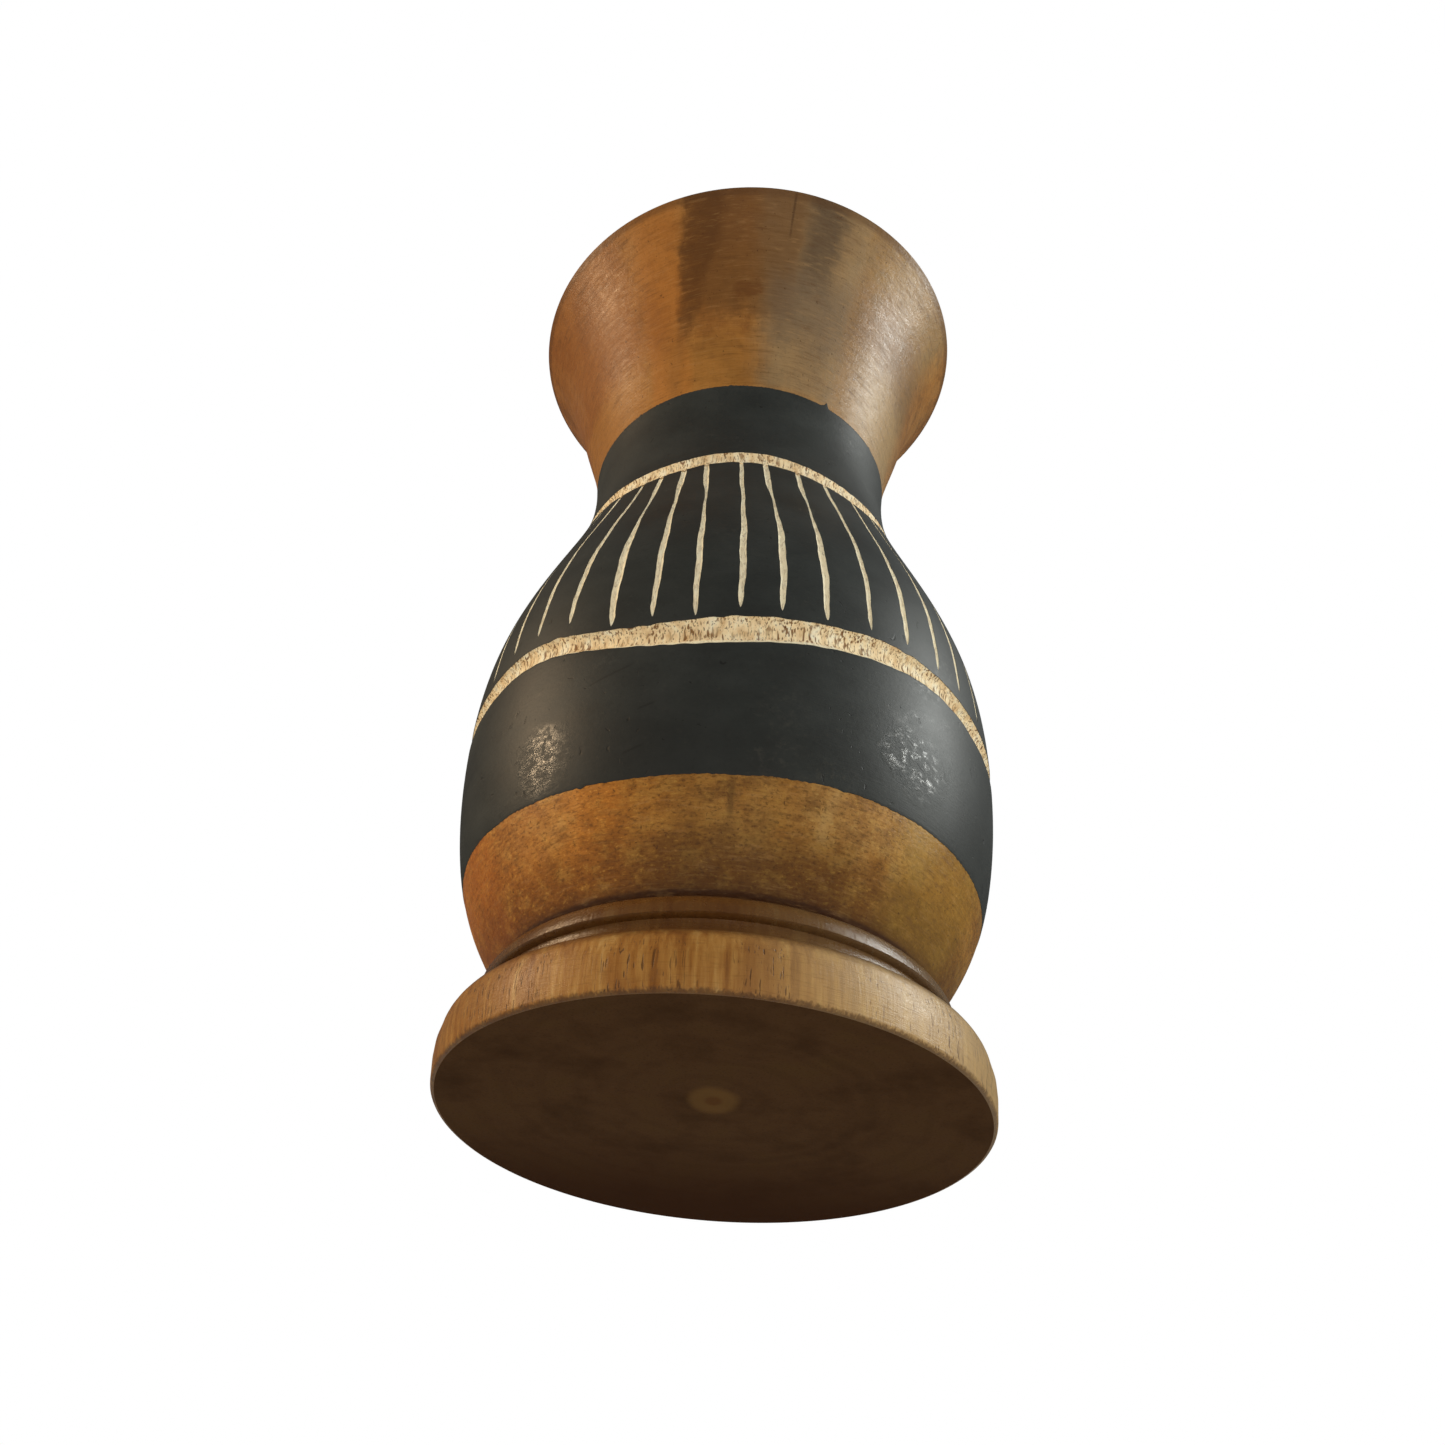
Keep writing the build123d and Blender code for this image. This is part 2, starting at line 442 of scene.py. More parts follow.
class Finish:
    """One procedural material. Its textures are laid out in millimetres of the object."""

    def __init__(self, name, **constants):
        self.material = bpy.data.materials.new(name)
        self.material.use_nodes = True
        self.tree = self.material.node_tree
        self.surface = self.tree.nodes["Principled BSDF"]
        for socket, value in constants.items():
            self.surface.inputs[socket.replace("_", " ")].default_value = value
        place = self.tree.nodes.new("ShaderNodeTexCoord").outputs["Object"]
        self.place = self.node("ShaderNodeVectorMath", {0: place, 3: 1 / MM}, operation="SCALE")
        split = self.tree.nodes.new("ShaderNodeSeparateXYZ")
        self.link(self.place, split.inputs[0])
        self.x, self.y, self.z = split.outputs
        turn = self.math("ARCTAN2", self.x, self.times(self.y, -1))
        self.azimuth = self.math("DEGREES", turn)

    def link(self, source, target):
        self.tree.links.new(source, target)

    def node(self, kind, inputs, output=0, **settings):
        made = self.tree.nodes.new(kind)
        for name, value in settings.items():
            setattr(made, name, value)
        for socket, value in inputs.items():
            if isinstance(value, bpy.types.NodeSocket):
                self.link(value, made.inputs[socket])
            else:
                made.inputs[socket].default_value = value
        return made.outputs[output]

    def math(self, operation, a, b=0.0, c=0.0):
        return self.node("ShaderNodeMath", {0: a, 1: b, 2: c}, operation=operation)

    def step(self, value, start, end, low=0.0, high=1.0):
        """Soft step from low at start to high at end."""
        inputs = {"Value": value, "From Min": start, "From Max": end, "To Min": low, "To Max": high}
        return self.node("ShaderNodeMapRange", inputs, interpolation_type="SMOOTHSTEP")

    def within(self, value, low, high, soft):
        """1 between low and high, with soft edges."""
        rise = self.step(value, low - soft / 2, low + soft / 2)
        return self.times(rise, self.step(value, high + soft / 2, high - soft / 2))

    def blot(self, azimuth, height, centre, size, soft=0.6):
        """A soft oval patch at centre = (azimuth, height), size = (degrees, millimetres) to its edge."""
        across = self.math("DIVIDE", self.minus(azimuth, centre[0]), size[0])
        along = self.math("DIVIDE", self.minus(height, centre[1]), size[1])
        square = self.plus(self.times(across, across), self.times(along, along))
        return self.step(square, 1 + soft, 1 - soft)

    def times(self, a, b):
        return self.math("MULTIPLY", a, b)

    def plus(self, a, b):
        return self.math("ADD", a, b)

    def minus(self, a, b):
        return self.math("SUBTRACT", a, b)

    def stray(self, value, noise, reach):
        """The value, pushed up to reach to either side by a noise."""
        return self.plus(value, self.math("MULTIPLY_ADD", noise, 2 * reach, -reach))

    def line(self, start, slope):
        """A height-dependent azimuth: start = (azimuth, height), slope in degrees per millimetre."""
        return self.math("MULTIPLY_ADD", self.minus(self.z, start[1]), slope, start[0])

    def noise(self, grain, detail=3.0, roughness=0.5, distortion=0.0, shift=0.0):
        """Noise whose features measure about grain = (x, y, z) millimetres."""
        place = {"Vector": self.place, "Scale": [1 / size for size in grain], "Location": [shift] * 3}
        inputs = {"Vector": self.node("ShaderNodeMapping", place), "Scale": 1.0, "Detail": detail}
        inputs |= {"Roughness": roughness, "Distortion": distortion}
        return self.node("ShaderNodeTexNoise", inputs, "Fac")

    def ramp(self, value, *stops):
        """Colours over a value, from stops of (value, tone of 0 to 255)."""
        made = self.tree.nodes.new("ShaderNodeValToRGB")
        while len(made.color_ramp.elements) < len(stops):
            made.color_ramp.elements.new(0.5)
        for element, (place, tone) in zip(made.color_ramp.elements, stops):
            element.position, element.color = place, srgb(tone)
        self.link(value, made.inputs[0])
        return made.outputs[0]

    def mix(self, share, a, b, blend="MIX"):
        return self.node("ShaderNodeMix", {0: share, 6: a, 7: b}, 2, data_type="RGBA", blend_type=blend)

    def tint(self, colour, *rows):
        """Mixes in one tone after another: each row is a mask, an amount and a tone."""
        for mask, amount, tone in rows:
            colour = self.mix(self.times(mask, amount), colour, srgb(tone))
        return colour

    def fade(self, colour, *rows):
        """The same, where the mask is a soft step of a value from its start to its end."""
        for value, start, end, amount, tone in rows:
            colour = self.mix(self.step(value, start, end, 0.0, amount), colour, srgb(tone))
        return colour

    def stain(self, colour, *rows):
        """Multiplies the colour: each row is a mask and factors for red, green and blue."""
        for mask, factors in rows:
            colour = self.mix(mask, colour, (*factors, 1), "MULTIPLY")
        return colour

    def dress(self, colour, roughness=None, relief=None, strength=0.2, distance=0.1):
        self.link(colour, self.surface.inputs["Base Color"])
        if roughness is not None:
            self.link(roughness, self.surface.inputs["Roughness"])
        if relief is not None:
            bump = {"Height": relief, "Strength": strength, "Distance": distance * MM}
            self.link(self.node("ShaderNodeBump", bump), self.surface.inputs["Normal"])
        return self.material


def wood_grain(finish):
    """Shares used by every wood: broad figure, mottle, fine fibre, dark pores and turning scratches."""
    figure = finish.noise((12, 12, 75), detail=4, roughness=0.55, distortion=0.4)
    mottle = finish.noise((5.0, 5.0, 4.2), detail=6, roughness=0.66, shift=40)
    fibre = finish.noise((0.6, 0.6, 9), detail=4, roughness=0.62, shift=80)
    pores = finish.noise((0.5, 0.5, 0.9), detail=2, roughness=0.5, distortion=0.5, shift=120)
    turning = finish.noise((3.6, 3.6, 0.28), detail=4, roughness=0.7, distortion=0.25, shift=200)
    return figure, mottle, fibre, pores, turning


def lacquered_wood():
    """Golden brown body wood, with dark heart streaks up the front of the mouth."""
    f = Finish("lacquered_wood", Roughness=0.45, Specular_IOR_Level=0.32)
    figure, mottle, fibre, pores, turning = wood_grain(f)
    colour = f.ramp(
        figure,
        (0.28, (132, 84, 38)), (0.42, (158, 104, 48)),
        (0.55, (178, 122, 60)), (0.72, (186, 136, 78)),
    )
    colour = f.fade(
        colour,
        (mottle, 0.46, 0.66, 0.55, (118, 76, 34)),
        (fibre, 0.48, 0.72, 0.3, (104, 66, 28)),
    )

    smudge = f.noise((5.5, 5.5, 0.9), detail=5, roughness=0.68, distortion=0.3, shift=260)
    sway = f.noise((7, 7, 15), detail=4, roughness=0.65, shift=7)
    azimuth = f.stray(f.azimuth, sway, 4.5)
    height = f.stray(f.z, mottle, 6.0)
    mouth = f.step(f.z, 150, 156)
    ember = f.times(f.within(azimuth, -150, 0, 12), f.within(height, 150, 168, 8))
    brown = f.times(f.within(azimuth, -18, 14, 8), f.step(height, 168, 178))
    past_left = f.step(f.minus(azimuth, f.line((-26.2, 172), 0.214)), -1.6, 1.6)
    past_right = f.step(f.minus(azimuth, f.line((-20.5, 168), 0.344)), 2.4, -2.4)
    heart = f.times(f.times(past_left, past_right), f.step(height, 161, 175))
    clouded = f.step(smudge, 0.3, 0.6, 0.55, 0.85)
    trail = f.times(f.within(azimuth, -31, -25, 5), f.step(height, 176, 166))
    ashen = f.times(f.within(azimuth, 14.5, 25, 5), f.step(height, 176, 190))
    haze = f.times(f.within(azimuth, 6, 34, 10), f.within(height, 168, 186, 10))
    # Painted highlight: a paler patch low on the right of the mouth, where the right lamp's gloss runs
    # down towards the neck.
    painted_highlight = f.times(f.within(azimuth, 43, 88, 32), f.within(height, 150, 174, 14))
    colour = f.tint(
        colour,
        (f.within(azimuth, -150, -40, 12), 0.6, (154, 93, 42)),
        (ember, 0.4, (184, 132, 62)),
        (f.within(azimuth, -38, -22, 6), 0.5, (178, 110, 44)),
        (f.times(f.within(azimuth, 4, 80, 14), mouth), 0.68, (134, 108, 70)),
        (brown, 0.85, (114, 76, 38)),
        (heart, clouded, (96, 60, 27)),
        (trail, 0.3, (120, 80, 36)),
        (ashen, clouded, (90, 68, 44)),
        (haze, 0.6, (112, 88, 60)),
        (painted_highlight, 0.38, (220, 190, 140)),
    )
    ash = f.times(f.within(azimuth, 1, 34, 8), mouth)
    # Painted highlight: the top of the mouth's right side made paler and cooler, where the right lamp
    # glints.
    crown = f.times(f.within(azimuth, 36, 84, 20), f.step(height, 186, 198))
    colour = f.stain(colour, (ash, (1.08, 1.28, 1.75)), (crown, (1.32, 1.45, 1.55)))
    spot = f.blot(azimuth, height, (-1, 180), (5, 2.6))
    crack = f.times(f.within(f.azimuth, 9.5, 10.1, 0.5), f.step(height, 193, 196))
    behind = f.step(f.math("ABSOLUTE", f.azimuth), 92, 112)
    streak = f.noise((10, 10, 110), detail=3, roughness=0.5, distortion=0.6, shift=23)
    dark_streak = f.times(f.step(streak, 0.5, 0.66), behind)

    band = f.step(f.z, 45, 42)
    patches = f.noise((4.2, 4.2, 3.0), detail=6, roughness=0.72, distortion=0.2, shift=330)
    dashes = f.noise((0.85, 0.85, 0.42), detail=4, roughness=0.7, distortion=0.3, shift=310)
    seam = f.times(f.within(f.azimuth, -0.6, 0.5, 0.8), f.within(height, 30.5, 38, 3))
    colour = f.tint(
        colour,
        (spot, 0.5, (102, 58, 22)),
        (crack, 0.55, (60, 40, 22)),
        (dark_streak, 0.5, (104, 68, 34)),
        # Painted shade with some grime: the lower band darker towards the foot.
        (f.times(f.step(height, 31, 25), band), 0.65, (98, 54, 14)),
        (f.step(patches, 0.46, 0.66, 0.0, 0.36), band, (192, 148, 84)),
        (f.step(patches, 0.52, 0.34, 0.0, 0.36), band, (112, 72, 36)),
        (f.times(f.step(dashes, 0.5, 0.66), band), 0.6, (78, 48, 18)),
        (f.times(f.step(dashes, 0.44, 0.3), band), 0.4, (214, 166, 88)),
        (f.times(f.within(azimuth, 38, 70, 14), band), 0.45, (158, 120, 50)),
        (f.times(f.within(azimuth, -90, -60, 6), band), 0.4, (132, 74, 34)),
        (seam, 0.5, (84, 56, 24)),
    )
    # The lower band's wood darker overall; then painted light: its upper part, its left side and its
    # right side lighter where the lamps fall on them, and a paler, bluer patch at its upper right; and a
    # cooler, darker tint at its upper left.
    upper = f.times(band, f.step(height, 28, 33))
    colour = f.stain(
        colour,
        (band, (0.67, 0.69, 0.52)),
        (f.times(band, f.within(azimuth, -140, -19.5, 27)), (1.95, 1.8, 1.65)),
        (f.times(band, f.within(azimuth, 29, 140, 14)), (1.2, 1.2, 1.12)),
        (upper, (1.15, 1.15, 1.15)),
        (f.times(f.within(azimuth, -60, -32, 10), upper), (0.8, 0.87, 1.15)),
        (f.times(f.within(azimuth, 14, 46, 10), upper), (1.22, 1.4, 2.1)),
    )
    # Darker near the foot joint: grime and painted shade; the dark line at the very bottom is painted
    # shadow in the crevice, with lacquer pooled there.
    grime_and_shade = f.times(f.step(f.z, 24.5, 21.2), band)
    colour = f.tint(colour, (f.step(f.z, 22.3, 21.7), 0.85, (40, 16, 8)), (grime_and_shade, 0.6, (70, 38, 16)))
    colour = f.fade(
        colour,
        (smudge, 0.5, 0.72, 0.45, (100, 66, 32)),
        (smudge, 0.46, 0.3, 0.16, (204, 160, 104)),
        (turning, 0.5, 0.7, 0.28, (88, 54, 24)),
        (turning, 0.45, 0.3, 0.14, (196, 152, 96)),
        (pores, 0.68, 0.74, 0.7, (70, 42, 20)),
        (f.z, 201.6, 202.8, 0.5, (92, 60, 32)),
    )
    dimples = f.noise((1.7, 1.7, 1.2), detail=5, roughness=0.72, shift=350)
    roughness = f.math("MULTIPLY_ADD", smudge, 0.4, f.math("MULTIPLY_ADD", dimples, 0.4, 0.02))
    relief = f.plus(f.times(fibre, 0.3), f.times(turning, 0.2))
    relief = f.plus(relief, f.times(mottle, 1.4))
    relief = f.plus(relief, f.times(dimples, 1.1))
    return f.dress(colour, roughness, relief, 0.6, 0.16)


def raw_wood(name, torn=1.0):
    """Bare cream wood in the grooves and flutes, torn into upright brown flecks along the grain."""
    f = Finish(name, Roughness=0.7, Specular_IOR_Level=0.3)
    tone = f.noise((1.9, 1.9, 4.2), detail=4, roughness=0.62)
    fleck = f.noise((0.42, 0.42, 2.2), detail=1.0, roughness=0.5, distortion=0.1, shift=30)
    patch = f.noise((3.2, 3.2, 2.6), detail=2, roughness=0.5, shift=44)
    pores = f.noise((0.3, 0.3, 0.95), detail=2, roughness=0.5, shift=60)
    colour = f.ramp(tone, (0.3, (224, 190, 142)), (0.5, (250, 228, 186)), (0.7, (255, 250, 226)))
    colour = f.mix(1 - torn, colour, srgb((255, 248, 220)))
    torn_there = f.math("MULTIPLY_ADD", f.step(patch, 0.38, 0.56), 0.5 * torn, 0.38 * torn)
    colour = f.tint(colour, (f.step(fleck, 0.53, 0.64), torn_there, (122, 78, 34)))
    colour = f.fade(colour, (pores, 0.6, 0.68, 0.75 * torn, (96, 62, 30)))
    relief = f.minus(tone, f.step(fleck, 0.52, 0.64))
    return f.dress(colour, None, relief, 0.6, 0.2)


def hollow_wood():
    """The turned inside, sanded and left nearly dull."""
    f = Finish("hollow_wood", Roughness=0.6, Specular_IOR_Level=0.35)
    figure, mottle, fibre, pores, turning = wood_grain(f)
    colour = f.ramp(figure, (0.3, (124, 80, 40)), (0.55, (160, 112, 62)), (0.75, (178, 134, 84)))
    colour = f.fade(
        colour,
        (mottle, 0.45, 0.7, 0.5, (116, 76, 40)),
        (turning, 0.5, 0.7, 0.4, (90, 58, 28)),
        (pores, 0.66, 0.74, 0.7, (60, 38, 20)),
    )
    return f.dress(colour, None, f.plus(turning, fibre), 0.3, 0.15)


def foot_wood():
    """Glossier golden wood of the foot, with long dark pore dashes; painted light on its right side,
    painted shade over its shoulder, cove and bead, and painted shadow in the crevice under the body.
    """
    f = Finish("foot_wood", Roughness=0.35, Specular_IOR_Level=0.45)
    figure, mottle, fibre, pores, turning = wood_grain(f)
    dashes = f.noise((0.28, 0.28, 3.0), detail=1.5, roughness=0.4, shift=150)
    ribbons = f.noise((1.5, 1.5, 26), detail=4, roughness=0.6, shift=170)
    colour = f.ramp(
        ribbons,
        (0.3, (140, 88, 38)), (0.45, (172, 118, 56)),
        (0.6, (194, 144, 78)), (0.75, (214, 174, 112)),
    )
    colour = f.fade(
        colour,
        (figure, 0.5, 0.66, 0.45, (150, 96, 44)),
        (mottle, 0.5, 0.7, 0.35, (134, 86, 40)),
    )
    # Painted light: the right side of the foot paler, where the right lamps fall on it.
    pale = f.within(f.azimuth, 14, 130, 36)
    colour = f.tint(colour, (pale, 0.5, (232, 206, 158)))
    colour = f.stain(colour, (1.0, (0.78, 0.76, 0.68)))
    # Painted shade: the shoulder, cove and bead darker, as no light falls on them from above.
    upper = f.step(f.stray(f.z, fibre, 0.8), 8.6, 11.2)
    lower = f.step(f.stray(f.z, pores, 0.8), 0.9, 0.1)
    clusters = f.times(f.step(figure, 0.42, 0.56), f.step(f.z, 9.5, 8))
    pits = f.times(f.step(dashes, 0.61, 0.68), clusters)
    colour = f.tint(
        colour,
        (upper, 0.8, (76, 47, 22)),
        (lower, 0.7, (74, 46, 22)),
        # Painted shadow in the crevice under the body, with lacquer pooled there.
        (f.step(f.z, 19.4, 20.4), 0.9, (58, 24, 12)),
        (pits, 0.85, (74, 46, 22)),
    )
    colour = f.fade(colour, (turning, 0.52, 0.72, 0.3, (84, 54, 26)))
    bead = f.step(f.z, 11.5, 15)
    roughness = f.minus(f.math("MULTIPLY_ADD", mottle, 0.3, 0.24), f.times(bead, 0.12))
    relief = f.minus(f.times(fibre, 1.1), f.times(pits, 0.5))
    relief = f.plus(relief, f.times(turning, 1.1))
    return f.dress(colour, roughness, relief, 0.4, 0.16)


def underside_wood():
    """Dark end grain, darkened further with painted shade: growth rings about a pith that lies off the
    centre.
    """
    f = Finish("underside_wood", Roughness=0.65, Specular_IOR_Level=0.03)
    pith_x, pith_y = 0.6, -9.9
    warp = f.noise((14, 14, 14), detail=3)
    from_x = f.minus(f.x, pith_x)
    from_y = f.minus(f.y, pith_y)
    squares = f.plus(f.times(from_x, from_x), f.times(from_y, from_y))
    distance = f.math("SQRT", squares)
    wavy = f.stray(distance, warp, 3.5)
    rings = f.math("SINE", f.times(wavy, 0.95))
    cloud = f.noise((15, 15, 15), detail=5, roughness=0.62, shift=50)
    grain = f.noise((0.45, 0.45, 0.45), detail=3, roughness=0.6, shift=90)
    colour = f.ramp(cloud, (0.32, (96, 68, 42)), (0.52, (116, 86, 58)), (0.7, (118, 90, 56)))
    colour = f.fade(
        colour,
        (rings, 0.3, 1.0, 0.12, (84, 54, 32)),
        (grain, 0.52, 0.72, 0.4, (76, 50, 30)),
    )
    # Painted shade: the underside darker towards the back.
    colour = f.fade(colour, (f.y, 0, 42, 0.9, (76, 40, 8)))
    ring_line = f.times(f.within(wavy, 24, 26, 2.0), f.step(f.x, -6, 18))
    colour = f.tint(colour, (ring_line, 0.22, (70, 44, 26)))
    oval = f.math("SQRT", f.plus(f.times(from_x, from_x),
                                 f.times(f.times(from_y, from_y), 0.62)))
    oval = f.stray(oval, warp, 1.2)
    colour = f.fade(
        colour,
        (oval, 5.0, 3.0, 0.62, (166, 130, 80)),
        (oval, 2.0, 1.0, 0.55, (120, 76, 42)),
    )
    # Painted shade: the whole underside darkened, as no lamp lights it from below.
    colour = f.stain(colour, (1.0, (0.49, 0.46, 0.43)))
    return f.dress(colour, None, grain, 0.2, 0.1)


def black_paint():
    """Thin charcoal paint: faint clouds, rubbed patches that are partly a painted highlight, painted
    shade low on the front, fine scratches and a few nicks.
    """
    f = Finish("black_paint", Roughness=0.5, Specular_IOR_Level=0.4)
    cloud = f.noise((15, 15, 10), detail=5, roughness=0.62)
    speck = f.noise((0.8, 0.8, 0.8), detail=4, roughness=0.68, shift=15)
    scratch = f.noise((4.0, 4.0, 0.3), detail=3, roughness=0.65, distortion=0.8, shift=33)
    rub = f.noise((1.7, 1.7, 1.3), detail=6, roughness=0.74, distortion=0.25, shift=71)
    nick = f.noise((2.6, 2.6, 3.4), detail=2, roughness=0.5, distortion=1.6, shift=93)
    colour = f.ramp(cloud, (0.3, (39, 41, 40)), (0.5, (45, 48, 47)), (0.72, (53, 56, 55)))
    colour = f.fade(
        colour,
        (speck, 0.56, 0.76, 0.3, (72, 70, 62)),
        (speck, 0.46, 0.3, 0.35, (30, 31, 30)),
    )

    azimuth = f.stray(f.azimuth, rub, 4.0)
    height = f.stray(f.z, cloud, 4.0)
    left_rub = f.blot(azimuth, height, (-40, 45), (6, 6), 0.9)
    right_rub = f.blot(azimuth, height, (38, 48.5), (7.5, 4.8), 0.9)
    mid_rub = f.blot(azimuth, height, (10, 50), (4.5, 4.5), 0.9)
    elsewhere = f.step(f.noise((13, 13, 9), detail=2, shift=7), 0.6, 0.72)
    fainter = f.math("MAXIMUM", f.times(mid_rub, 0.25), f.times(elsewhere, 0.35))
    rubbed = f.math("MAXIMUM", right_rub, fainter)
    wear_and_sheen = f.math("MAXIMUM", f.times(rubbed, f.step(rub, 0.5, 0.64)),
                  f.times(left_rub, f.step(rub, 0.44, 0.56)))
    rubbed = f.math("MAXIMUM", rubbed, left_rub)
    # Painted shade: the paint darker low on the front, away from the side lamps.
    low = f.times(f.within(f.azimuth, -28, 4, 24), f.step(f.z, 56, 42))
    # The rubbed patches are paler: wear, and at the left and right rubs a painted highlight where the
    # lamps glint.
    colour = f.tint(colour, (low, 0.45, (26, 27, 27)), (wear_and_sheen, 0.3, (110, 104, 94)))
    colour = f.fade(colour, (nick, 0.7, 0.735, 0.75, (20, 20, 20)))
    climb = 0.27                  # how many millimetres the few long scratches rise in each degree
    slant = f.minus(f.z, f.times(f.azimuth, climb))
    for side, level, half in (-25, 57.6, 4.2), (-17, 50.2, 1.6), (-19.5, 42.6, 2), (46, 59.6, 1):
        middle = level - side * climb
        long = f.within(f.azimuth, side - half, side + half, 1.0)
        cut = f.times(f.within(slant, middle - 0.12, middle + 0.12, 0.5), long)
        colour = f.tint(colour, (cut, 0.7, (18, 18, 18)))
    roughness = f.minus(f.math("MULTIPLY_ADD", cloud, 0.2, 0.4), f.times(wear_and_sheen, 0.36))
    relief = f.plus(f.times(speck, 0.7), f.times(scratch, 0.5))
    relief = f.plus(relief, f.times(f.times(rub, rubbed), 3.2))
    relief = f.minus(relief, f.step(nick, 0.69, 0.74))
    return f.dress(colour, roughness, relief, 0.3, 0.14)


body_finish = [lacquered_wood(), raw_wood("raw_wood"), hollow_wood(), raw_wood("pale_wood", 0.3)]
foot_finish = [foot_wood(), underside_wood()]
paint_finish = [black_paint()]
RAW, HOLLOW, PALE = 1, 2, 3
SIDE, UNDERSIDE = 0, 1

# ---------------------------------------- vase body


def run_out(azimuth):
    """How deep the flutes still are where they meet the upper groove."""
    cut = np.zeros_like(azimuth)
    for flute in flutes:
        middle, half = flute.middle(flute.top), flute.half(flute.top)
        away = np.mod(azimuth - middle + math.pi, TURN) - math.pi
        across = np.abs(away) * outline(flute.top) / half
        cut = np.maximum(cut, 0.5 * half * np.clip(1 - across**1.5, 0, 1))
    return cut


def groove_ring(skin, columns, edges, share, depth, marks, seed, floor=0.0):
    """One ring of a groove, at a share of the way from its bottom edge to its top edge."""
    azimuth = np.arange(columns) * TURN / columns
    bottom, top = edges(azimuth)
    height = bottom + (top - bottom) * share
    bowl = max(0.0, 1 - abs(2 * share - 1) ** 2.2)
    drift = azimuth + 0.006 * np.sin(3 * share + ripple(azimuth, 20, 40, seed))
    uneven = depth * (1 + 0.1 * ripple(azimuth, 9, 30, seed + 1))
    cut = bowl * (uneven + 0.18 * gouge_marks(drift, marks, seed))
    return skin.ring(azimuth, outline(height) - np.maximum(cut, floor), height)


ACROSS = np.array([-1, -0.82, -0.5, -0.2, 0.0, 0.2, 0.5, 0.82, 1.0])


def flute_ring(skin, row):
    """One ring of the fluted band, whose columns crowd into the cuts."""
    azimuths, cuts = [], []
    for i, track in enumerate(tracks):
        after = tracks[(i + 1) % flute_count]
        turn = TURN if i == flute_count - 1 else 0
        half = track.half[row]
        azimuth = track.middle[row] + ACROSS * track.spread[row]
        between = np.linspace(azimuth[-1], after.middle[row] + turn - after.spread[row], 6)[1:-1]
        cut = 0.5 * half * (1 - np.abs(ACROSS) ** 1.5) * track.grain[row] if half > 0 else np.zeros(9)
        azimuths += [azimuth, between]
        cuts += [cut, np.zeros(4)]
    azimuth, cut = np.concatenate(azimuths), np.concatenate(cuts)
    bottom, top = lower_groove(azimuth)[1], upper_groove(azimuth)[0]
    height = bottom + (top - bottom) * FLUTE_ROWS[row]
    return skin.ring(azimuth, outline(height) - cut, height)


def build_body():
    skin = Skin()

    def side_rings(heights):
        return (skin.even_ring(PLAIN_COLUMNS, outline(height), height) for height in heights)

    first = skin.even_ring(PLAIN_COLUMNS, OUTLINE[0][0] - base_edge, joint_height)
    ring = skin.climb(first, [skin.even_ring(PLAIN_COLUMNS, *OUTLINE[0])])
    ring = skin.climb(ring, side_rings(np.linspace(OUTLINE[0][1], plain_top, 16)[1:]))
    azimuth = np.arange(CARVED_COLUMNS) * TURN / CARVED_COLUMNS
    edge = lower_groove(azimuth)[0]
    for share in (0.35, 0.7, 0.93):
        height = plain_top + (edge - plain_top) * share
        ring = skin.climb(ring, [skin.ring(azimuth, outline(height), height)])
    # The lower edge of the groove takes the paler wood: fewer torn flecks there, and partly painted
    # light, its lower face lighter than its upper face.
    for share in np.linspace(0, 1, 25):
        after = groove_ring(skin, CARVED_COLUMNS, lower_groove, share, lower_groove_depth, 230, 21)
        ring = skin.climb(ring, [after], PALE if share < 0.22 else RAW)
    ring = skin.climb(ring, (flute_ring(skin, row) for row in range(1, len(FLUTE_ROWS) - 1)), PALE)
    flute_ends = run_out(np.arange(BAND_COLUMNS) * TURN / BAND_COLUMNS)
    for share in np.linspace(0, 1, 17):
        floor = flute_ends * max(0.0, 1 - 2 * share)
        after = groove_ring(skin, BAND_COLUMNS, upper_groove, share, upper_groove_depth, 150, 41, floor)
        ring = skin.climb(ring, [after], RAW)
    ring = skin.climb(ring, side_rings((131.5, 134.5, 140, 146)))
    ring = skin.climb(ring, side_rings(np.linspace(150, total_height - lip_round - 0.4, 30)))
    lip_outer = (float(outline(total_height - lip_round)), total_height - lip_round)
    lip = arc(lip_outer, (mouth_radius - lip_round - 0.7, total_height), -lip_round * 1.35, 7)
    inner_edge = (mouth_radius - mouth_wall, total_height - 1.2)
    lip += arc((mouth_radius - mouth_wall + 1.3, total_height), inner_edge, -1.5, 5)
    ring = skin.climb(ring, (skin.even_ring(PLAIN_COLUMNS, *place) for place in [lip_outer, *lip]))
    hollow = (skin.even_ring(HOLLOW_COLUMNS, *place) for place in hollow_profile(inner_edge))
    skin.close(skin.climb(ring, hollow, HOLLOW), cavity_floor, HOLLOW)
    ring = skin.even_ring(HOLLOW_COLUMNS, socket_radius, joint_height + socket_height)
    skin.close(ring, joint_height + socket_height, HOLLOW, inward=False)
    skin.climb(ring, [skin.even_ring(HOLLOW_COLUMNS, socket_radius, joint_height), first], HOLLOW)
    return skin.build("carved_body", body_finish)


def hollow_profile(start):
    """Radius and height of the rings down the funnel, the bore and its rounded floor."""
    for t in np.linspace(0, 1, 26)[1:]:
        height = start[1] + (neck_bore_height - start[1]) * t
        yield funnel(height, start), height
    for height in np.linspace(neck_bore_height, cavity_floor + cavity_corner, 10)[1:]:
        yield neck_bore_radius, height
    corner = (neck_bore_radius, cavity_floor + cavity_corner)
    yield from arc(corner, (neck_bore_radius - cavity_corner, cavity_floor), -cavity_corner, 6)
    for share in (0.66, 0.33):
        yield (neck_bore_radius - cavity_corner) * share, cavity_floor


